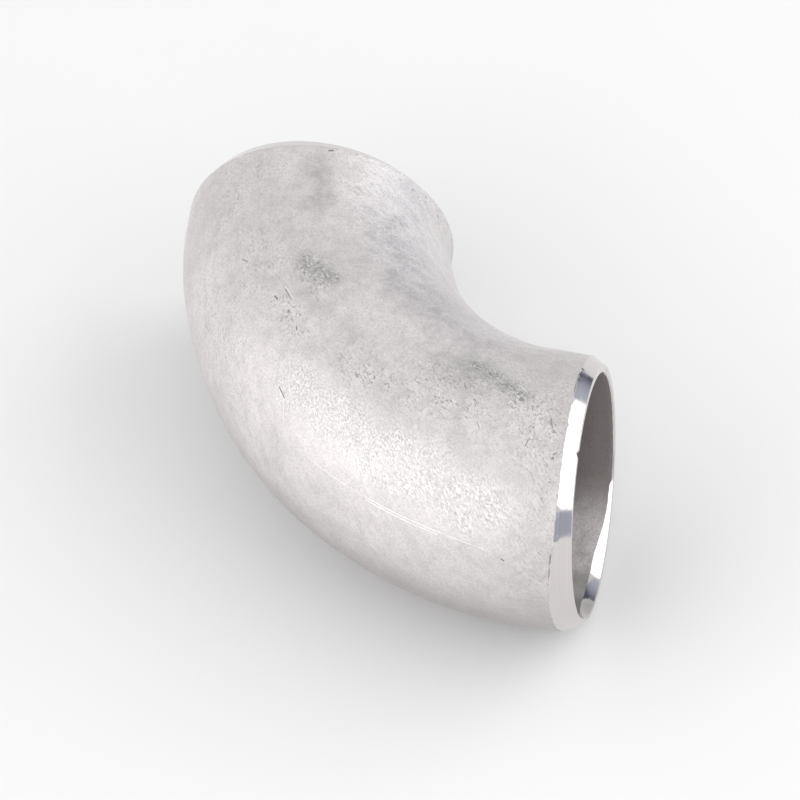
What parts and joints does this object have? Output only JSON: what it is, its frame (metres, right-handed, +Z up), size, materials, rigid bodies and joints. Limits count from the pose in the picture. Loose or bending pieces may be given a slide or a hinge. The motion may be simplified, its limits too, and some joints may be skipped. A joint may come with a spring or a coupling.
{
  "type": "pipe elbow",
  "caption": "Ninety-degree long-radius butt-weld pipe elbow in seamless stainless steel, bevelled and counterbored for welding at each end.",
  "frame": {"origin": "centre of the weld face that points along +X", "axes": "+X out of that weld end along the pipe that joins it, +Y out of the other weld end, +Z up, square to the plane of the bend; the elbow lies on its side"},
  "size_m": [0.0831, 0.0811, 0.0483],
  "materials": {
    "stainless_steel": "pickled matte stainless steel with scuffs and scratches; weld ends bright from turning"
  },
  "bodies": {
    "root": {"elbow_body": "stainless_steel"}
  },
  "joints": []
}
